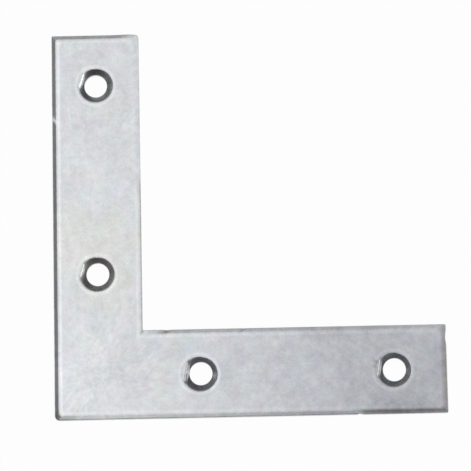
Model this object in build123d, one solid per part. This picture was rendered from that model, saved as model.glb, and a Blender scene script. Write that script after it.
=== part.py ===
from build123d import *
import os

# A flat corner plate for frames, in millimetres: one L blanked from sheet steel,
# with countersunk screw holes down the middle of both legs.
# The origin is where the two hole lines cross, on the back face. The legs run
# along +X and +Y, and the countersinks open on +Z.

# Blank
leg_length = 75.0             # outer corner of the L to the end of either leg
leg_width = 17.0
thickness = 2.0
outer_corner_radius = 0.9
end_corner_radius = 0.3       # the four corners at the ends of the legs

# Sheared edge of the blank
roll_width = 0.7              # the die draws the front down over this width
roll_depth = 0.32
crest_radius = 1.2            # blend from the flat front into the roll
shoulder_radius = 0.3         # blend from the roll into the wall
cut_depth = 0.9               # front face to where the wall is torn rather than cut
fracture_lean = 0.06          # how far the torn part leans in at the back
back_edge_radius = 0.1        # burrs tumbled off the back

# Screw holes
end_to_hole = 10.0            # end of a leg to the centre of its outer hole
hole_pitch = 37.0             # outer hole to inner hole of one leg
hole_diameter = 4.4
countersink_diameter = 6.8
countersink_angle = 90.0
rim_radius = 0.15             # softened rim between countersink and front
hole_back_break = 0.1         # broken edge where the hole comes out of the back

# Lines of the L and places of its holes, along X and Y alike
outer_side = -leg_width / 2
inner_side = outer_side + leg_width
leg_end = outer_side + leg_length
outer_hole = leg_end - end_to_hole
inner_hole = outer_hole - hole_pitch
fracture_height = thickness - cut_depth

# Corners at the leg ends, with the turn that points each one outwards
leg_corners = [
    (leg_end, inner_side, 0),
    (inner_side, leg_end, 0),
    (outer_side, leg_end, 90),
    (leg_end, outer_side, -90),
]
hole_places = [(0, outer_hole), (0, inner_hole), (inner_hole, 0), (outer_hole, 0)]


def front_face(body):
    return body.faces().sort_by(Axis.Z)[-1]


def back_face(body):
    return body.faces().sort_by(Axis.Z)[0]


def square_cornered_l():
    """The L before its edges are worked, with only the outer corner rounded."""
    with BuildPart() as body:
        with BuildSketch() as plan:
            with BuildLine():
                Polyline(
                    (outer_side, outer_side),
                    (leg_end, outer_side),
                    (leg_end, inner_side),
                    (inner_side, inner_side),
                    (inner_side, leg_end),
                    (outer_side, leg_end),
                    close=True,
                )
            make_face()
            outer_corner = plan.vertices().sort_by_distance((outer_side, outer_side))[0]
            fillet(outer_corner, radius=outer_corner_radius)
        extrude(amount=thickness)
    return body.part


def with_sheared_edges(plate):
    """The section that blanking leaves: rolled front, cut band, torn band, eased back."""
    with BuildPart() as body:
        add(plate)
        front = front_face(body)
        chamfer(front.edges(), length=roll_width, length2=roll_depth, reference=front)
        shoulder = body.edges().filter_by(Plane.XY).group_by(Axis.Z)[-2]
        fillet(shoulder, radius=shoulder_radius)
        fillet(front_face(body).edges(), radius=crest_radius)

        back = back_face(body)
        chamfer(back.edges(), length=fracture_lean, length2=fracture_height, reference=back)
        fillet(back_face(body).edges(), radius=back_edge_radius)
    return body.part


def with_eased_leg_ends(plate):
    """The corners at the ends of the legs, rounded off from front to back."""
    with BuildSketch() as nib:
        Rectangle(2 * end_corner_radius, 2 * end_corner_radius, align=Align.MIN)
        Circle(end_corner_radius, mode=Mode.SUBTRACT)
    inset = Location((-end_corner_radius, -end_corner_radius, 0))
    with BuildPart() as body:
        add(plate)
        for x, y, turn in leg_corners:
            corner = Location((x, y, 0), (0, 0, turn))
            extrude(corner * inset * nib.sketch, amount=thickness, mode=Mode.SUBTRACT)
    return body.part


def with_screw_holes(plate):
    """Holes punched through and countersunk from the front."""
    with BuildPart() as body:
        add(plate)
        with Locations(*[(x, y, thickness) for x, y in hole_places]):
            CounterSinkHole(
                radius=hole_diameter / 2,
                counter_sink_radius=countersink_diameter / 2,
                counter_sink_angle=countersink_angle,
            )
        rims = [wire.edges() for wire in front_face(body).inner_wires()]
        fillet(rims, radius=rim_radius)
        exits = [wire.edges() for wire in back_face(body).inner_wires()]
        chamfer(exits, length=hole_back_break)
    return body.part


blank = with_eased_leg_ends(with_sheared_edges(square_cornered_l()))
corner_plate = with_screw_holes(blank)
corner_plate.label = "corner_plate"

os.makedirs("parts", exist_ok=True)
export_step(corner_plate, "parts/corner_plate.step")
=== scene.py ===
import math
import bmesh
import bpy
from mathutils import Euler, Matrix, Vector


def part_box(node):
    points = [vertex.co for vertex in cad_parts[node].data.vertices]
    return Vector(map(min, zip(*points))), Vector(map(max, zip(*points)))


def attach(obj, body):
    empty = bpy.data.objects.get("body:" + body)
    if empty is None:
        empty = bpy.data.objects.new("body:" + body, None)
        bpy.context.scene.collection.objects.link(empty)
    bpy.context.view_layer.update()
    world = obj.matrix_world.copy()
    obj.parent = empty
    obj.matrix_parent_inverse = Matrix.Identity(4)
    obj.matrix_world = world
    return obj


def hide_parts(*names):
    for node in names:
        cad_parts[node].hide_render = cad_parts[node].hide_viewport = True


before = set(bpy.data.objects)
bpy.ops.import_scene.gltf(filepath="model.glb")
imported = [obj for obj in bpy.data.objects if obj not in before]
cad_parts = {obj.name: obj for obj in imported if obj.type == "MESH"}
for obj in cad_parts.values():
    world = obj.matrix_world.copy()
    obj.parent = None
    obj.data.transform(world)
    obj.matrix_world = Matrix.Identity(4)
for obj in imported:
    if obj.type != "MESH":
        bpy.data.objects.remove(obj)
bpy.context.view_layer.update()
print("frame loaded")

mm = 0.001
plateLow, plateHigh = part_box("corner_plate")


# Node trees

class Value:
    # a node's output that plain arithmetic works on, in geometry and shader trees alike
    def __init__(self, tree, socket):
        self.tree = tree
        self.socket = socket

    def isWide(self):
        return self.socket.type in ("VECTOR", "RGBA")

    def __add__(self, other):
        return self.tree.math("ADD", self, other)

    def __radd__(self, other):
        return self.tree.math("ADD", other, self)

    def __sub__(self, other):
        return self.tree.math("SUBTRACT", self, other)

    def __rsub__(self, other):
        return self.tree.math("SUBTRACT", other, self)

    def __mul__(self, other):
        if self.isWide() == isWide(other):
            return self.tree.math("MULTIPLY", self, other)
        wide, plain = (self, other) if self.isWide() else (other, self)
        return self.tree.node("ShaderNodeVectorMath", {"operation": "SCALE"},
                              {"Vector": wide, "Scale": plain})

    def __rmul__(self, other):
        return self * other

    def __truediv__(self, other):
        return self.tree.math("DIVIDE", self, other)

    def __rtruediv__(self, other):
        return self.tree.math("DIVIDE", other, self)

    def __neg__(self):
        return self * -1

    def power(self, other):
        return self.tree.math("POWER", self, other)

    def atLeast(self, other):
        return self.tree.math("MAXIMUM", self, other)

    def atMost(self, other):
        return self.tree.math("MINIMUM", self, other)

    def above(self, other):
        return self.tree.math("GREATER_THAN", self, other)

    def below(self, other):
        return self.tree.math("LESS_THAN", self, other)

    def floor(self):
        return self.tree.math("FLOOR", self)

    def clamped(self):
        return self.atLeast(0.0).atMost(1.0)

    def gap(self, other):
        # how far apart two values are
        return self.tree.math("ABSOLUTE", self - other)

    def dot(self, other):
        return self.tree.node("ShaderNodeVectorMath", {"operation": "DOT_PRODUCT"},
                              {0: self, 1: other}, "Value")

    def length(self):
        return self.tree.node("ShaderNodeVectorMath", {"operation": "LENGTH"}, {0: self}, "Value")

    def part(self, axis):
        return self.tree.node("ShaderNodeSeparateXYZ", {}, {0: self}, axis)

    def ramp(self, start, end, low=0.0, high=1.0):
        # eases from low to high as the value goes from start to end
        return self.tree.node("ShaderNodeMapRange", {"interpolation_type": "SMOOTHSTEP"}, {
            "Value": self, "From Min": start, "From Max": end, "To Min": low, "To Max": high})


def isWide(term):
    return isinstance(term, (Vector, tuple)) or (isinstance(term, Value) and term.isWide())


class Tree:
    def __init__(self, group):
        self.group = group

    def node(self, kind, settings=None, inputs=None, output=0):
        # settings come first because they decide which sockets a node has
        made = self.group.nodes.new(kind)
        for name, value in (settings or {}).items():
            setattr(made, name, value)
        for name, value in (inputs or {}).items():
            self.join(value, self.find(made.inputs, name))
        return Value(self, self.find(made.outputs, output)) if len(made.outputs) else made

    def find(self, sockets, name):
        live = [socket for socket in sockets if socket.enabled]
        return live[name] if isinstance(name, int) else next(s for s in live if s.name == name)

    def join(self, value, socket):
        if isinstance(value, list):
            for one in value:
                self.join(one, socket)
        elif isinstance(value, Value):
            self.group.links.new(value.socket, socket)
        else:
            socket.default_value = value

    def math(self, operation, *terms):
        wide = any(isWide(term) for term in terms)
        kind = "ShaderNodeVectorMath" if wide else "ShaderNodeMath"
        return self.node(kind, {"operation": operation}, dict(enumerate(terms)))

    def vector(self, x, y, z):
        return self.node("ShaderNodeCombineXYZ", {}, {0: x, 1: y, 2: z})

    def pick(self, index, choices, kind):
        # one of several values, by number
        made = self.group.nodes.new("GeometryNodeIndexSwitch")
        made.data_type = kind
        for _ in choices[2:]:
            made.index_switch_items.new()
        self.join(index, made.inputs["Index"])
        for place, choice in enumerate(choices):
            self.join(choice, made.inputs[place + 1])
        return Value(self, made.outputs[0])

    def mix(self, share, first, second):
        # between two colours
        return self.node("ShaderNodeMix", {"data_type": "RGBA"},
                         {"Factor": share, "A": first, "B": second}, "Result")

    def noise(self, vector, scale, detail=0.0, roughness=0.5, output=0, **more):
        sockets = {"Vector": vector, "Scale": scale, "Detail": detail, "Roughness": roughness, **more}
        settings = {"noise_dimensions": "4D"} if "W" in more else {}
        return self.node("ShaderNodeTexNoise", settings, sockets, output)


# Camera: where the photograph was taken from, with its tilt about the middle of the plate's front
camera = {
    "frame": 471,                     # pixels, both ways
    "reach": 2400,                    # focal length in pixels
    "turn": (-8.44, -0.32, 1.15),     # degrees about X, Y and Z
    "shift": (2.309 * mm, 2.622 * mm),
    "distance": 462.1 * mm,
    "sensor": 36,
    "nearest": 0.01,
    "farthest": 10,
}
aim = Vector(((plateLow.x + plateHigh.x) / 2, (plateLow.y + plateHigh.y) / 2, plateHigh.z))
turnX, turnY, turnZ = (math.radians(angle) for angle in camera["turn"])
toCamera = (Euler((turnX, 0, 0)).to_matrix() @ Euler((0, turnY, 0)).to_matrix()
            @ Euler((0, 0, turnZ)).to_matrix())
toPlate = toCamera.transposed()
eye = aim - toPlate @ Vector((*camera["shift"], -camera["distance"]))

cameraData = bpy.data.cameras.new("camera")
cameraData.sensor_width = camera["sensor"]
cameraData.lens = camera["reach"] / camera["frame"] * cameraData.sensor_width
cameraData.clip_start = camera["nearest"]
cameraData.clip_end = camera["farthest"]
cameraObject = bpy.data.objects.new("camera", cameraData)
cameraObject.location = eye
cameraObject.rotation_mode = "QUATERNION"
cameraObject.rotation_quaternion = toPlate.to_quaternion()
bpy.context.scene.collection.objects.link(cameraObject)
bpy.context.scene.camera = cameraObject


def spotAt(pixelX, pixelY):
    # the place on the plate's front that a pixel of the photograph shows
    middle = camera["frame"] / 2
    ray = toPlate @ Vector(((pixelX - middle) / camera["reach"], (middle - pixelY) / camera["reach"], -1))
    return eye + ray * ((plateHigh.z - eye.z) / ray.z)


print("camera set")


# The plate: an L with a sheared edge all round and four countersunk holes
plate = {
    "Leg length": plateHigh.x - plateLow.x,
    "Leg width": -2 * plateLow.x,
    "Thickness": plateHigh.z,
    "Outer corner radius": 0.85 * mm,
    "Outer crest radius": 0.45 * mm,  # that corner's radius where the face is flat again
    "Leg end radius": 0.35 * mm,
    "Inner corner radius": 0.15 * mm,
    "Worn corner radius": 0.5 * mm,   # the upright's end corner at the right
    "Roll width": 0.76 * mm,
    "Roll depth": 0.32 * mm,
    "Crest radius": 0.5 * mm,
    "Draw-in width": 1.3 * mm,        # gentle fall of the front before it rolls over
    "Draw-in depth": 0.022 * mm,
    "Draw-in radius": 4.0 * mm,
    "Roll loss": 0.96,                # share of the roll's depth that edges facing +X lack
    "Roll regain": 0.31,              # how much of that the foot's end gets back
    "Upper roll loss": 0.85,          # the same at the right of the upright's end
    "Upper roll regain": 0.50,        # and what the foot's upper edge gets back
    "Shoulder radius": 0.3 * mm,
    "Corner softening": 0.20,         # how fast the other corners grow rounder inwards
    "Cut depth": 0.9 * mm,
    "Cut line radius": 0.05 * mm,
    "Fracture lean": 0.06 * mm,
    "Back edge radius": 0.1 * mm,
    "Edge margin": 2.0 * mm,          # strip along the edge that carries its section
    "Edge step": 0.4 * mm,            # longest piece of the outline
    "Edge wander": 0.05 * mm,
    "End to hole": 10 * mm,
    "Hole pitch": 37 * mm,
    "Hole radius": 2.2 * mm,
    "Countersink radius": 3.3 * mm,
    "Rim radius": 0.35 * mm,
    "Hole back break": 0.1 * mm,
    "Hole edge radius": 0.02 * mm,
    "Ledge slope": 0.62,              # fall of the bright ledge at the left of each countersink
    "Ledge drop": 3.0,                # and of the steep part below it
    "Pressed ring radius": 4.4 * mm,
    "Pressed ring height": 0.012 * mm,
    "Seed": 4,
}
# how finely the plate is made: pieces on a rounded corner, the longest piece of a section, and so on
fineness = {
    "outlineCorner": 8,
    "edgeCorner": 8,
    "edgeStep": 0.15 * mm,
    "rimCorner": 6,
    "rimStep": 0.12 * mm,
    "ring": 120,
    "merge": 0.002 * mm,
    "sharpAngle": 35,                 # degrees from which an edge shades sharp
}
# how far each countersink runs out from its hole: both of the upright's, from the top, then the foot's
runOuts = [(0.03, -0.09), (-0.10, -0.10), (-0.15, -0.17), (-0.19, -0.13)]
# the ledge in each countersink: the way it faces in degrees, where it starts and ends,
# and its painted glint: how much brighter (painted highlight) or duller (painted shade) it is than the face
ledges = [
    {"turn": 161.0, "start": 2.62 * mm, "end": 3.02 * mm, "rubbed": 0.2},
    {"turn": 164.5, "start": 2.80 * mm, "end": 3.16 * mm, "rubbed": -0.22},
    {"turn": 170.0, "start": 2.54 * mm, "end": 2.93 * mm, "rubbed": -0.54},
    {"turn": 171.0, "start": 2.80 * mm, "end": 3.14 * mm, "rubbed": -0.32},
]
# knocks on the edge: a pixel of the photograph, how far in and along it goes, how much painted shade it has,
# and how much of the roll it flattens
knocks = [
    {"pixel": (56, 418), "into": 0.04 * mm, "reach": 1.0 * mm, "dark": 0.35, "flat": 0.0},
    {"pixel": (65, 419.5), "into": 0.0, "reach": 1.8 * mm, "dark": 0.30, "flat": 0.0},
    {"pixel": (52.6, 119.3), "into": 0.07 * mm, "reach": 1.1 * mm, "dark": 0.0, "flat": 1.0},
    {"pixel": (136, 34.5), "into": 0.12 * mm, "reach": 1.1 * mm, "dark": 0.0, "flat": 0.0},
    {"pixel": (142.5, 331), "into": 0.0, "reach": 0.45 * mm, "dark": 0.25, "flat": 0.0},
    {"pixel": (167.5, 330.5), "into": 0.12 * mm, "reach": 0.9 * mm, "dark": 0.45, "flat": 0.0},
    {"pixel": (244, 328.5), "into": 0.10 * mm, "reach": 0.45 * mm, "dark": 0.35, "flat": 0.0},
    {"pixel": (361, 414.0), "into": 0.22 * mm, "reach": 0.6 * mm, "dark": 0.0, "flat": 0.6},
    {"pixel": (446, 337.0), "into": 0.16 * mm, "reach": 1.8 * mm, "dark": 0.0, "flat": 0.0},
]
# finish of the edge and its painted highlight, with distances measured inwards from the outline
edge = {
    "wanderScale": 180.0,             # noise that shifts the outline
    "burrScale": 1500.0,              # and that roughens the torn wall
    "burrOnCut": 0.15,                # share of it that the cut wall has
    "tornFade": 0.15 * mm,
    "knockShade": 1.6,                # how much further along than its dent a knock's painted shade reaches
    "knockShadeFade": (0.4 * mm, 1.2 * mm),
    "wallFade": (0.1 * mm, 0.2 * mm),
    "highlightPlace": 1.7,                # the painted highlight, a pale line inside the roll, in roll widths
    "highlightNearer": 0.6,               # and how much nearer it lies on the stretch with painted shade
    "highlightHalfWidth": 0.5 * mm,
    "highlightLeft": 0.85,                # how bright the painted highlight is on each side
    "highlightTop": 0.35,
    "highlightBottom": 0.25,
    "highlightShadedStretch": 0.35,
    "highlightAllRound": 0.15,
}
# painted shade on stretches of the edge: the lower one at the right, the foot's end and the upright's right
stain = {
    "from": (363, 413),               # pixel of the photograph
    "fade": 0.7 * mm,
    "core": 0.65 * mm,                # darkest this far in
    "coreWidth": 0.55 * mm,
    "coreShare": 0.42,
    "reach": 2.0 * mm,                # and clear again here
    "nearShare": 0.17,
    "onEnd": 0.50,                    # how dark the foot's end is
    "endReach": 1.5 * mm,
    "onUpright": 0.46,                # and the upright's right edge, below its middle
    "uprightReach": 0.35 * mm,
    "uprightFrom": 40 * mm,
    "uprightFade": 5 * mm,
}
# finish of the countersinks, with their painted shade and highlights: pairs of distances out from the hole,
# the rim or the ledge's start and end
sink = {
    "ledgeFromHole": (0.02 * mm, 0.1 * mm),
    "ledgeFromStart": (-0.10 * mm, 0.02 * mm),
    "paleBeside": (-0.55 * mm, -0.05 * mm),
    "paleBesideShare": 0.40,
    "shadeFromRim": (0.12 * mm, -0.26 * mm),
    "glintFromEnd": (0.08 * mm, -0.04 * mm),
    "glintFromRim": (0.25 * mm, 0.05 * mm),
    "haloFromRim": 0.55 * mm,         # the pale ring on the face, a painted highlight
    "haloHalfWidth": 0.5 * mm,
    "haloShare": 0.5,
}


def closedLoop(tree, count, place, radius):
    points = tree.node("GeometryNodePoints", {}, {"Count": count, "Position": place})
    curve = tree.node("GeometryNodePointsToCurves", {}, {"Points": points})
    ring = tree.node("GeometryNodeSetSplineCyclic", {}, {0: curve, "Cyclic": True})
    return rounded(tree, ring, radius, fineness["outlineCorner"])


def rounded(tree, curve, radius, count):
    return tree.node("GeometryNodeFilletCurve", {"mode": "POLY"},
                     {"Curve": curve, "Radius": radius, "Count": count, "Limit Radius": True})


def openSection(tree, index, corners, count, step):
    # a run of straight pieces in X and Y, with its corners rounded and its long pieces cut up
    places = [tree.vector(x, y, 0.0) for x, y, _ in corners]
    points = tree.node("GeometryNodePoints", {},
                       {"Count": len(corners), "Position": tree.pick(index, places, "VECTOR")})
    curve = tree.node("GeometryNodePointsToCurves", {}, {"Points": points})
    radius = tree.pick(index, [corner[2] for corner in corners], "FLOAT")
    return cutUp(tree, rounded(tree, curve, radius, count), index, step)


def cutUp(tree, curve, index, step):
    # cuts every piece of a curve that is longer than a step
    position = tree.node("GeometryNodeInputPosition")
    after = tree.node("GeometryNodeOffsetPointInCurve", {},
                      {"Point Index": index, "Offset": 1}, "Point Index")
    ahead = tree.node("GeometryNodeFieldAtIndex", {"data_type": "FLOAT_VECTOR", "domain": "POINT"},
                      {"Index": after, "Value": position})
    cuts = ((ahead - position).length() / step).floor()
    return tree.node("GeometryNodeSubdivideCurve", {}, {"Curve": curve, "Cuts": cuts})


def store(tree, geometry, name, value, kind="FLOAT"):
    return tree.node("GeometryNodeStoreNamedAttribute", {"data_type": kind, "domain": "POINT"},
                     {"Geometry": geometry, "Name": name, "Value": value})


def read(tree, name, kind="FLOAT"):
    return tree.node("GeometryNodeInputNamedAttribute", {"data_type": kind}, {"Name": name}, "Attribute")


def edgeOutline(tree, size, index, position):
    # the L's outline, from its outer corner anticlockwise, with the way inwards kept at each point
    low = size["Leg width"] * -0.5
    high = size["Leg width"] * 0.5
    end = size["Leg length"] + low
    margin = size["Edge margin"]
    spots = [(low, low), (end, low), (end, high), (high, high), (high, end), (low, end)]
    inwards = [(1, 1), (-1, 1), (-1, -1), (-1, -1), (-1, -1), (1, -1)]
    outer, leg, inner = size["Outer corner radius"], size["Leg end radius"], size["Inner corner radius"]
    radius = tree.pick(index, [outer, leg, leg, inner, size["Worn corner radius"], leg], "FLOAT")
    corner = tree.pick(index, [tree.vector(x, y, 0.0) for x, y in spots], "VECTOR")
    inward = tree.pick(index, [(x, y, 0.0) for x, y in inwards], "VECTOR")
    outline = closedLoop(tree, len(spots), corner, radius)
    isOther = index.atMost(1.0)
    softer = (radius + margin * size["Corner softening"]) * isOther
    softer = softer + size["Outer crest radius"] * (1.0 - isOther)
    inset = closedLoop(tree, len(spots), corner + inward * margin, softer)
    insetPlace = tree.node("GeometryNodeSampleIndex", {"data_type": "FLOAT_VECTOR", "domain": "POINT"},
                           {"Geometry": inset, "Value": position, "Index": index})
    outline = store(tree, outline, "outline", position, "FLOAT_VECTOR")
    wayIn = (insetPlace - position) / (margin * tree.vector(1, 1, 1))
    outline = store(tree, outline, "inward", wayIn, "FLOAT_VECTOR")
    outline = cutUp(tree, outline, index, size["Edge step"])
    tangent = tree.node("GeometryNodeInputTangent")
    wayOut = tree.vector(tangent.part("Y"), -tangent.part("X"), 0.0)
    return store(tree, outline, "facing", wayOut, "FLOAT_VECTOR")


def edgeSection(tree, size, index, position):
    # the sheared edge: X goes into the plate, Y up from its back
    margin, thickness = size["Edge margin"], size["Thickness"]
    section = openSection(tree, index, [
        (margin, thickness, 0.0),
        (size["Draw-in width"], thickness, size["Draw-in radius"]),
        (size["Roll width"], thickness - size["Draw-in depth"], size["Crest radius"]),
        (0.0, thickness - size["Roll depth"], size["Shoulder radius"]),
        (0.0, thickness - size["Cut depth"], size["Cut line radius"]),
        (size["Fracture lean"], 0.0, size["Back edge radius"]),
        (margin, 0.0, 0.0),
    ], fineness["edgeCorner"], fineness["edgeStep"])
    section = store(tree, section, "into", position.part("X"))
    return store(tree, section, "height", position.part("Y"))


def edgeBand(tree, size, index, position):
    # the section carried round the outline, then worn
    band = tree.node("GeometryNodeCurveToMesh", {}, {
        "Curve": edgeOutline(tree, size, index, position),
        "Profile Curve": edgeSection(tree, size, index, position)})

    margin, thickness, roll = size["Edge margin"], size["Thickness"], size["Roll depth"]
    high = size["Leg width"] * 0.5
    into, height = read(tree, "into"), read(tree, "height")
    outline, inward = read(tree, "outline", "FLOAT_VECTOR"), read(tree, "inward", "FLOAT_VECTOR")
    facing = read(tree, "facing", "FLOAT_VECTOR")
    rightward, upward = facing.part("X").atLeast(0.0), facing.part("Y").atLeast(0.0)
    leftward, downward = (-facing.part("X")).clamped(), (-facing.part("Y")).clamped()
    along = outline.part("X")
    onFoot = along.ramp(high, high * 2.0)

    # the roll is shallower at the right and above, and the wall below it taller
    rightLoss = size["Roll loss"] - size["Roll regain"] * onFoot
    upperLoss = size["Upper roll loss"] * along.ramp(high * 0.3, high * 0.9)
    upperLoss = upperLoss - size["Upper roll regain"] * along.ramp(high, high * 1.5)
    kept = 1.0 - (rightward * rightLoss + upward * upperLoss).clamped()
    knockGaps = [(outline - tuple(spotAt(*knock["pixel"]).xy.to_3d())).length() for knock in knocks]
    for knock, gap in zip(knocks, knockGaps):
        kept = kept * gap.ramp(0.0, knock["reach"], 1.0 - knock["flat"], 1.0)
    depth = thickness - height
    stretch = (thickness - roll * kept) / (thickness - roll)
    level = thickness - depth.atMost(roll) * kept - (depth - roll).atLeast(0.0) * stretch

    # the outline wanders, the torn wall has a burr, and the knocks go in
    seed = size["Seed"]
    wander = tree.noise(outline, edge["wanderScale"], 3.0, 0.6, W=seed) - 0.5
    burr = tree.noise(outline + tree.vector(0.0, 0.0, level), edge["burrScale"], 2.0, 0.6, W=seed) - 0.5
    cutLine = thickness - size["Cut depth"]
    torn = level.ramp(cutLine, cutLine - edge["tornFade"], edge["burrOnCut"], 1.0)
    shift = wander * size["Edge wander"] + burr * torn * size["Edge wander"]
    shade = 0.0
    for knock, gap in zip(knocks, knockGaps):
        shift = shift + gap.ramp(0.0, knock["reach"], knock["into"], 0.0)
        shade = shade + gap.ramp(0.0, knock["reach"] * edge["knockShade"], knock["dark"], 0.0)
    shift = shift * into.ramp(0.0, margin, 1.0, 0.0)
    place = outline + inward * (into + shift) + tree.vector(0.0, 0.0, level)
    band = tree.node("GeometryNodeSetPosition", {}, {"Geometry": band, "Position": place})

    # a painted highlight along the crest inside the roll, and painted shade on dark stretches of the edge
    # and at the knocks
    lowerHalf = outline.part("Y").ramp(stain["uprightFrom"], stain["uprightFrom"] - stain["uprightFade"])
    shadedStretch = rightward * (1.0 - onFoot) * lowerHalf
    highlightShare = (leftward * edge["highlightLeft"] + upward * edge["highlightTop"] + downward * edge["highlightBottom"]
                  + shadedStretch * edge["highlightShadedStretch"] + edge["highlightAllRound"])
    highlightPlace = size["Roll width"] * (edge["highlightPlace"] - shadedStretch * edge["highlightNearer"])
    crest = into.gap(highlightPlace).ramp(0.0, edge["highlightHalfWidth"], 1.0, 0.0)
    band = store(tree, band, "crest", crest * highlightShare)
    first = spotAt(*stain["from"]).x
    onLower = along.ramp(first, first + stain["fade"]) * downward
    core = into.gap(stain["core"]).ramp(0.0, stain["coreWidth"], stain["coreShare"], 0.0)
    paintedShade = onLower * (core + into.ramp(0.0, stain["reach"], stain["nearShare"], 0.0))
    paintedShade = paintedShade + rightward * onFoot * into.ramp(0.0, stain["endReach"], stain["onEnd"], 0.0)
    paintedShade = paintedShade + shadedStretch * into.ramp(0.0, stain["uprightReach"], stain["onUpright"], 0.0)
    paintedShade = paintedShade + shade * into.ramp(*edge["knockShadeFade"], 1.0, 0.0)
    band = store(tree, band, "stain", paintedShade)
    return store(tree, band, "wallDepth", depth / mm * into.ramp(*edge["wallFade"], 1.0, 0.0))


def holePoints(tree, size, index, position):
    # a point for each hole, on the middle lines of the legs, with its own run-out and ledge
    far = size["Leg length"] - size["Leg width"] * 0.5 - size["End to hole"]
    near = far - size["Hole pitch"]
    places = [tree.vector(0.0, far, 0.0), tree.vector(0.0, near, 0.0),
              tree.vector(near, 0.0, 0.0), tree.vector(far, 0.0, 0.0)]
    points = tree.node("GeometryNodePoints", {},
                       {"Count": len(places), "Position": tree.pick(index, places, "VECTOR")})
    turns = [math.radians(one["turn"]) for one in ledges]
    kept = {
        "runOut": [(x * mm, y * mm, 0.0) for x, y in runOuts],
        "ledgeWay": [(math.cos(turn), math.sin(turn), 0.0) for turn in turns],
        "ledgeSpan": [(one["start"], one["end"], one["rubbed"]) for one in ledges],
    }
    points = store(tree, points, "centre", position, "FLOAT_VECTOR")
    for name, values in kept.items():
        points = store(tree, points, name, tree.pick(index, values, "VECTOR"), "FLOAT_VECTOR")
    return points


def holeRings(tree, size, index, position):
    # four countersunk holes, each cone a little off its hole
    thickness, hole, rim = size["Thickness"], size["Hole radius"], size["Countersink radius"]
    outside, breaking = size["Pressed ring radius"], size["Hole back break"]
    sharp = size["Hole edge radius"]
    coneFoot = thickness - (rim - hole)
    section = openSection(tree, index, [
        (outside, thickness, 0.0),
        (rim, thickness, size["Rim radius"]),
        (hole, coneFoot, sharp),
        (hole, breaking, sharp),
        (hole + breaking, 0.0, sharp),
        (hole + breaking * 8.0, 0.0, 0.0),
    ], fineness["rimCorner"], fineness["rimStep"])
    section = store(tree, section, "reach", position.part("X"))
    section = store(tree, section, "height", position.part("Y"))
    ring = tree.node("GeometryNodeCurvePrimitiveCircle", {"mode": "RADIUS"},
                     {"Resolution": fineness["ring"], "Radius": 1.0})
    ring = store(tree, ring, "ray", position, "FLOAT_VECTOR")
    wall = tree.node("GeometryNodeCurveToMesh", {}, {"Curve": ring, "Profile Curve": section})
    walls = tree.node("GeometryNodeInstanceOnPoints", {},
                      {"Points": holePoints(tree, size, index, position), "Instance": wall})
    walls = tree.node("GeometryNodeRealizeInstances", {}, {"Geometry": walls})

    reach, height = read(tree, "reach"), read(tree, "height")
    ray, centre = read(tree, "ray", "FLOAT_VECTOR"), read(tree, "centre", "FLOAT_VECTOR")
    runOut = read(tree, "runOut", "FLOAT_VECTOR")
    upper = ((height - breaking) / (coneFoot - breaking)).clamped()
    pull = ((rim - reach) / (rim - hole)).clamped().atLeast(1.0 - upper)
    flat = runOut * (1.0 - pull) + ray * reach
    rise = ((flat - runOut).length() - reach) * upper
    swell = (reach - rim) / (outside - rim)
    swell = (swell * (1.0 - swell) * 4.0).clamped().power(2.0) * size["Pressed ring height"]
    level = height + rise + swell

    # the ledge: a straight step across the cone, bright from the side lamp and a painted glint, with the
    # face carried on outside it
    span = read(tree, "ledgeSpan", "FLOAT_VECTOR")
    start, end, rubbed = span.part("X"), span.part("Y"), span.part("Z")
    toLedge = flat.dot(read(tree, "ledgeWay", "FLOAT_VECTOR"))
    ledge = (thickness - (end - toLedge).atLeast(0.0) * size["Ledge slope"]
             - (start - toLedge).atLeast(0.0) * size["Ledge drop"])
    aboveHole = between(reach, hole, sink["ledgeFromHole"])
    level = level + (ledge - level).atLeast(0.0) * aboveHole * upper
    place = centre + flat + tree.vector(0.0, 0.0, level)
    walls = tree.node("GeometryNodeSetPosition", {}, {"Geometry": walls, "Position": place})

    onLedge = between(toLedge, start, sink["ledgeFromStart"])
    # recess: where the countersinks take their painted shade, lighter beside the ledge
    beside = 1.0 - between(toLedge, start, sink["paleBeside"]) * sink["paleBesideShare"]
    recess = between(reach, rim, sink["shadeFromRim"]) * (1.0 - onLedge) * beside
    walls = store(tree, walls, "recess", recess)
    # a painted highlight: a pale ring on the face round each hole
    fromHalo = reach.gap(rim + sink["haloFromRim"])
    halo = fromHalo.ramp(0.0, sink["haloHalfWidth"], sink["haloShare"], 0.0)
    walls = store(tree, walls, "crest", halo * upper)
    # painted glint on the ledge: a painted highlight, and a painted shade where the value is negative
    rubbed = rubbed * onLedge * between(toLedge, end, sink["glintFromEnd"])
    walls = store(tree, walls, "rubbed", rubbed * between(reach, rim, sink["glintFromRim"]))
    turning = tree.vector(ray.part("X"), ray.part("Y"), reach / mm)
    return store(tree, walls, "turning", turning, "FLOAT_VECTOR")


def between(value, base, offsets):
    # eases from 0 to 1 between two distances from a base
    first, last = offsets
    return value.ramp(base + first, base + last)


def faceAt(tree, shell, position, height, isFront):
    # fills the flat left between the edge band and the hole rings on one side
    level = position.part("Z")
    middle = height * 0.5
    isOpen = tree.node("GeometryNodeInputMeshEdgeNeighbors").below(1.5)
    side = level.above(middle) if isFront else level.below(middle)
    rims = tree.node("GeometryNodeMeshToCurve", {}, {"Mesh": shell, "Selection": isOpen * side})
    face = tree.node("GeometryNodeFillCurve", {}, {"Curve": rims})
    lift = tree.vector(0.0, 0.0, height if isFront else 0.0)
    return tree.node("GeometryNodeSetPosition", {}, {"Geometry": face, "Offset": lift})


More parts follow.
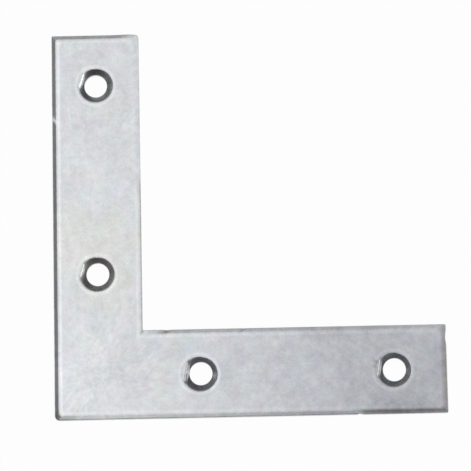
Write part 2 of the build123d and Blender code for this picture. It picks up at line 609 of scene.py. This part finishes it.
def plateTree(material):
    group = bpy.data.node_groups.new("plate", "GeometryNodeTree")
    tree = Tree(group)
    group.interface.new_socket("Geometry", in_out="OUTPUT", socket_type="NodeSocketGeometry")
    for name in plate:
        group.interface.new_socket(name, in_out="INPUT", socket_type="NodeSocketFloat")
    source = group.nodes.new("NodeGroupInput")
    size = {name: Value(tree, source.outputs[name]) for name in plate}
    index = tree.node("GeometryNodeInputIndex")
    position = tree.node("GeometryNodeInputPosition")
    shell = tree.node("GeometryNodeJoinGeometry", {}, {
        "Geometry": [edgeBand(tree, size, index, position), holeRings(tree, size, index, position)]})
    whole = tree.node("GeometryNodeJoinGeometry", {}, {
        "Geometry": [shell, faceAt(tree, shell, position, size["Thickness"], True),
                     faceAt(tree, shell, position, size["Thickness"], False)]})
    whole = tree.node("GeometryNodeMergeByDistance", {}, {"Geometry": whole, "Distance": fineness["merge"]})
    whole = tree.node("GeometryNodeRealizeInstances", {}, {"Geometry": whole})
    whole = tree.node("GeometryNodeSetShadeSmooth", {}, {"Geometry": whole, "Shade Smooth": True})
    whole = tree.node("GeometryNodeSetMaterial", {}, {"Geometry": whole, "Material": material})
    target = group.nodes.new("NodeGroupOutput")
    group.links.new(whole.socket, target.inputs["Geometry"])
    return group


def buildPlate(material):
    seedObject = bpy.data.objects.new("seed", bpy.data.meshes.new("seed"))
    bpy.context.scene.collection.objects.link(seedObject)
    modifier = seedObject.modifiers.new("plate", "NODES")
    modifier.node_group = plateTree(material)
    for item in modifier.node_group.interface.items_tree:
        if item.in_out == "INPUT":
            modifier[item.identifier] = float(plate[item.name])
    seen = seedObject.evaluated_get(bpy.context.evaluated_depsgraph_get())
    mesh = bpy.data.meshes.new_from_object(seen)
    seedObject.modifiers.remove(modifier)
    bpy.data.objects.remove(seedObject)
    mesh.name = "cornerPlate"
    body = bmesh.new()
    body.from_mesh(mesh)
    bmesh.ops.recalc_face_normals(body, faces=body.faces)
    loose = [side for side in body.edges if not side.is_manifold]
    print(f"plate made: {len(body.faces)} faces, {len(loose)} open edges")
    body.to_mesh(mesh)
    body.free()
    mesh.set_sharp_from_angle(angle=math.radians(fineness["sharpAngle"]))
    piece = bpy.data.objects.new("cornerPlate", mesh)
    bpy.context.scene.collection.objects.link(piece)
    return piece


# Zinc plate: satin grey metal with a faint cast that wanders, darker in the countersinks by painted shade,
# and dull on the torn wall
white = (1, 1, 1, 1)
zinc = {
    "colour": (0.700, 0.715, 0.735),
    "castStrength": 0.21,             # how far the colour wanders to pink, green and blue
    "castScales": (260.0, 700.0),
    "castShares": (0.6, 0.4),
    "highlightStrength": 0.24,            # painted highlight: a pale line along the edges and round the holes
    "roughness": 0.34,
    # painted shade: the countersinks' darker colour
    "countersink": (0.33, 0.335, 0.34),
    "countersinkRoughness": 0.20,
    "cutWall": (0.56, 0.58, 0.60),
    "cutFrom": (0.26, 0.40),          # depths in mm over which the cut wall begins
    "tornWall": (0.36, 0.37, 0.38),
    "tornRoughness": 0.55,
    "tornFrom": (0.86, 0.96),         # and over which the torn one does, with a ragged line
    "tornRagged": 0.25,
    "tornRaggedScale": 900.0,
    # painted shade along stretches of the edge and at the knocks, a little uneven
    "stain": (0.14, 0.125, 0.075),
    "edgeShadeScale": 1100.0,
    "edgeShadeUneven": 1.2,
    "cool": (1.005, 1.0, 1.035),      # the foot grows bluer towards its end
    "coolFrom": (10 * mm, 45 * mm),
    "footPaintedLight": 0.050,            # painted light: the foot is this much lighter than the upright
    "footFrom": (14 * mm, -2 * mm),
    "warm": (1.03, 1.02, 0.975),      # the warmer patch round the upright's lower hole
    "warmPlace": (100, 256),          # pixel of the photograph
    "warmReach": 12 * mm,
    "warmFade": (0.45, 1.05),
    "warmScale": 150.0,
    "warmUneven": 1.2,
    "bumpStrength": 0.4,
    "bumpHeight": 0.01 * mm,
}
# soft places painted lighter or darker than the rest, painted light and painted shade for how light falls
# across the face, the last two a small dark mark: a pixel of the photograph and the reach
patches = [
    {"pixel": (56, 368), "reach": 8 * mm, "paler": 0.05},
    {"pixel": (128, 66), "reach": 8 * mm, "paler": 0.04},
    {"pixel": (132, 374), "reach": 10 * mm, "paler": -0.09},
    {"pixel": (362, 385), "reach": 7 * mm, "paler": -0.07},
    {"pixel": (398, 414), "reach": 7 * mm, "paler": -0.22},
    {"pixel": (425, 326), "reach": 9 * mm, "paler": 0.16},
    {"pixel": (375.7, 361.8), "reach": 0.75 * mm, "paler": -0.40},
    {"pixel": (374.2, 366), "reach": 0.65 * mm, "paler": -0.32},
]
# textures: a noise's scale, detail and sharpness, then its share in the tone, the roughness and the bump
textures = {
    "cloud": {"noise": (300.0, 6.0, 0.85), "tone": 0.90, "rough": 0.10, "bump": 0.5},
    "speckle": {"noise": (1150.0, 1.0, 0.6), "tone": 0.16},
    "grain": {"noise": (2200.0, 2.0, 0.9), "tone": 0.24, "rough": 0.06, "bump": 0.3},
    "streaks": {"noise": (5200.0, 3.0, 0.7), "tone": 0.5, "bump": 0.9},
    "crumbs": {"noise": (6500.0, 3.0, 0.8), "tone": 0.7, "bump": 3.0},
    "rings": {"noise": (1.6, 3.0, 0.7), "tone": 0.6, "bump": 1.6},
    "scuffs": {"tone": 0.02, "rough": 0.03, "bump": 0.06},
}
# fine rubbing marks: the turn in radians and the noise's scale of each set
scuffSets = [(0.5, 2600.0), (-0.9, 2100.0), (1.45, 3000.0)]
scuffShape = {"stretch": (0.035, 1.0, 1.0), "threshold": (0.66, 0.74)}


def zincMaterial():
    material = bpy.data.materials.new("platedSteel")
    material.use_nodes = True
    material.node_tree.nodes.clear()
    tree = Tree(material.node_tree)

    def stored(name, output="Fac"):
        return tree.node("ShaderNodeAttribute", {"attribute_name": name}, {}, output)

    def texture(name, place):
        return tree.noise(place, *textures[name]["noise"]) - 0.5

    def share(name, use):
        return textures[name][use]

    spot = tree.node("ShaderNodeTexCoord", {}, {}, "Object")
    recess, crest, rubbed, paintedShade = stored("recess"), stored("crest"), stored("rubbed"), stored("stain")
    wallDepth, turning = stored("wallDepth"), stored("turning", "Vector")
    wall = wallDepth.ramp(*zinc["cutFrom"])
    ragged = (tree.noise(spot, zinc["tornRaggedScale"], 2.0) - 0.5) * zinc["tornRagged"]
    torn = (wallDepth + ragged).ramp(*zinc["tornFrom"])

    # the cast of the plating wanders over a few millimetres
    wideCast, fineCast = zinc["castScales"]
    wideShare, fineShare = zinc["castShares"]
    drift = (tree.noise(spot, wideCast, 2.0, 0.6, "Color") * wideShare
             + tree.noise(spot, fineCast, 1.0, 0.6, "Color") * fineShare)
    cast = (drift - (0.5, 0.5, 0.5)) * ((recess * 2.0 + 1.0) * zinc["castStrength"]) + (1.0, 1.0, 1.0)
    fromWarm = (spot - tuple(spotAt(*zinc["warmPlace"]))).length()
    uneven = (tree.noise(spot, zinc["warmScale"], 2.0) - 0.5) * zinc["warmUneven"]
    warm = (fromWarm / zinc["warmReach"] + uneven).ramp(*zinc["warmFade"], 1.0, 0.0)
    cast = cast * tree.mix(spot.part("X").ramp(*zinc["coolFrom"]), white, (*zinc["cool"], 1))
    cast = cast * tree.mix(warm, white, (*zinc["warm"], 1))
    paintedLightShadeAndMarks = spot.part("Y").ramp(*zinc["footFrom"], 0.0, zinc["footPaintedLight"])
    for patch in patches:
        away = (spot - tuple(spotAt(*patch["pixel"]))).length()
        paintedLightShadeAndMarks = paintedLightShadeAndMarks + away.ramp(0.0, patch["reach"], patch["paler"], 0.0)

    cloud, speckle, grain = texture("cloud", spot), texture("speckle", spot), texture("grain", spot)
    scuffs = 0.0
    for turn, scale in scuffSets:
        across = tree.node("ShaderNodeVectorRotate", {"rotation_type": "Z_AXIS"},
                           {"Vector": spot, "Angle": turn})
        line = tree.noise(across * scuffShape["stretch"], scale, 1.0, 0.5)
        scuffs = scuffs + line.ramp(*scuffShape["threshold"])
    # streaks down the cut wall, crumbs on the torn one and rings round the countersinks
    streaks = wall * texture("streaks", spot * (1.0, 1.0, 0.06))
    crumbs = torn * wall * texture("crumbs", spot)
    rings = recess * texture("rings", turning * (1.0, 1.0, 9.0))

    colour = tree.mix(wall, (*zinc["colour"], 1), (*zinc["cutWall"], 1))
    colour = tree.mix(torn * wall, colour, (*zinc["tornWall"], 1))
    # painted shade in the countersinks
    colour = tree.mix(recess, colour, (*zinc["countersink"], 1))
    # painted shade on the edge's dark stretches and at the knocks
    blotches = 1.0 + (tree.noise(spot, zinc["edgeShadeScale"], 3.0, 0.7) - 0.5) * zinc["edgeShadeUneven"]
    colour = tree.mix((paintedShade * blotches).clamped(), colour, (*zinc["stain"], 1))
    # the tone carries painted light and shade: the foot's painted light, the patches, the painted highlight
    # along edges and round holes, and the ledges' painted glints
    tone = (1.0 + paintedLightShadeAndMarks + cloud * share("cloud", "tone") + speckle * share("speckle", "tone")
            + grain * share("grain", "tone") + scuffs * share("scuffs", "tone")
            + crest * zinc["highlightStrength"] + rubbed + streaks * share("streaks", "tone")
            + crumbs * share("crumbs", "tone") + rings * share("rings", "tone"))
    roughness = (zinc["roughness"] + cloud * share("cloud", "rough") + grain * share("grain", "rough")
                 - scuffs * share("scuffs", "rough")
                 + torn * wall * (zinc["tornRoughness"] - zinc["roughness"])
                 + recess * (zinc["countersinkRoughness"] - zinc["roughness"]))
    height = (cloud * share("cloud", "bump") + grain * share("grain", "bump")
              - scuffs * share("scuffs", "bump") + streaks * share("streaks", "bump")
              + crumbs * share("crumbs", "bump") + rings * share("rings", "bump"))
    bump = tree.node("ShaderNodeBump", {}, {
        "Strength": zinc["bumpStrength"], "Distance": zinc["bumpHeight"], "Height": height})
    surface = tree.node("ShaderNodeBsdfPrincipled", {}, {
        "Base Color": colour * cast * tone, "Metallic": 1.0, "Roughness": roughness, "Normal": bump})
    tree.node("ShaderNodeOutputMaterial", {}, {"Surface": surface})
    return material


cornerPlate = buildPlate(zincMaterial())
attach(cornerPlate, "root")
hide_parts("corner_plate")


# Studio: a white floor in a pale room, with a soft box overhead, a low lamp at the right and one in front
studio = {
    "floorRadius": 2.0,
    "floorSides": 96,
    "floorDrop": 0.02 * mm,
    "floorColour": (0.82, 0.82, 0.83, 1),
    "floorGlow": 0.97,                # share of the floor that the camera sees as plain white
    "sky": (0.97, 0.985, 1.0, 1),
    "surroundings": (1.0, 0.99, 0.965, 1),
    "horizon": 0.50,
}
# the room's light above the horizon: the heights between which a band takes over, and its level on each side
bands = [
    {"heights": (0.05, 0.12), "left": 0.30, "right": 0.45, "top": 0.25, "bottom": 0.10},
    {"heights": (0.33, 0.46), "left": 0.17, "right": 0.95, "top": 0.45, "bottom": 0.20},
]
overhead = {"heights": (0.80, 0.93), "level": 0.43}
# a glow of 1 is as bright as white paper
lamps = {
    "softBox": {"place": (-0.04, 0.08, 0.42), "target": (-0.04, 0.08, 0.0),
                "width": 0.12, "height": 0.32, "glow": 1.15},
    "sideBox": {"place": (0.38, -0.05, 0.26), "target": (0.02, 0.02, 0.0),
                "width": 0.14, "height": 0.16, "glow": 2.2},
    "frontBox": {"place": (-0.06, -0.30, 0.42), "target": (-0.06, -0.30, 0.0),
                 "width": 0.12, "height": 0.16, "glow": 2.0},
}


def seenDirectly(tree):
    # rays from the camera, and those that metal or glass sends on
    path = [tree.node("ShaderNodeLightPath", {}, {}, name)
            for name in ("Is Camera Ray", "Is Glossy Ray", "Is Transmission Ray")]
    return path[0].atLeast(path[1]).atLeast(path[2])


def makeFloor():
    mesh = bpy.data.meshes.new("floor")
    disc = bmesh.new()
    bmesh.ops.create_circle(disc, cap_ends=True, segments=studio["floorSides"], radius=studio["floorRadius"])
    bmesh.ops.translate(disc, verts=disc.verts, vec=(0, 0, -studio["floorDrop"]))
    disc.to_mesh(mesh)
    disc.free()
    floor = bpy.data.objects.new("floor", mesh)
    bpy.context.scene.collection.objects.link(floor)
    material = bpy.data.materials.new("floorWhite")
    material.use_nodes = True
    material.node_tree.nodes.clear()
    tree = Tree(material.node_tree)
    cloth = tree.node("ShaderNodeBsdfDiffuse", {}, {"Color": studio["floorColour"]})
    glow = tree.node("ShaderNodeEmission", {}, {"Color": white, "Strength": 1.0})
    both = tree.node("ShaderNodeMixShader", {},
                     {0: seenDirectly(tree) * studio["floorGlow"], 1: cloth, 2: glow})
    tree.node("ShaderNodeOutputMaterial", {}, {"Surface": both})
    mesh.materials.append(material)


def makeWorld():
    world = bpy.data.worlds.new("studio")
    world.use_nodes = True
    world.node_tree.nodes.clear()
    bpy.context.scene.world = world
    tree = Tree(world.node_tree)
    way = tree.node("ShaderNodeTexCoord", {}, {}, "Generated")
    across, along, up = way.part("X"), way.part("Y"), way.part("Z")
    spread = (across * across + along * along + 0.0001).power(0.5)
    across, along = across / spread, along / spread
    shares = {"left": (-across).atLeast(0.0), "right": across.atLeast(0.0),
              "top": along.atLeast(0.0), "bottom": (-along).atLeast(0.0)}

    level = studio["horizon"]
    for band in bands:
        share = up.ramp(*band["heights"])
        allRound = sum(shares[side] * shares[side] * band[side] for side in shares)
        level = (1.0 - share) * level + share * allRound
    share = up.ramp(*overhead["heights"])
    level = (1.0 - share) * level + share * overhead["level"]
    tint = tree.mix(share, studio["surroundings"], studio["sky"])
    background = tree.node("ShaderNodeBackground", {}, {"Color": tint, "Strength": level})
    tree.node("ShaderNodeOutputWorld", {}, {"Surface": background})


def makeLamp(name, place, target, width, height, glow):
    data = bpy.data.lights.new(name, "AREA")
    data.shape = "RECTANGLE"
    data.size = width
    data.size_y = height
    data.energy = glow * math.pi * width * height
    lamp = bpy.data.objects.new(name, data)
    lamp.location = place
    lamp.rotation_mode = "QUATERNION"
    lamp.rotation_quaternion = (Vector(target) - Vector(place)).to_track_quat("-Z", "Y")
    bpy.context.scene.collection.objects.link(lamp)


makeFloor()
makeWorld()
for lampName, lampValues in lamps.items():
    makeLamp(lampName, **lampValues)
bpy.context.scene.view_settings.view_transform = "Standard"
print("studio lit")
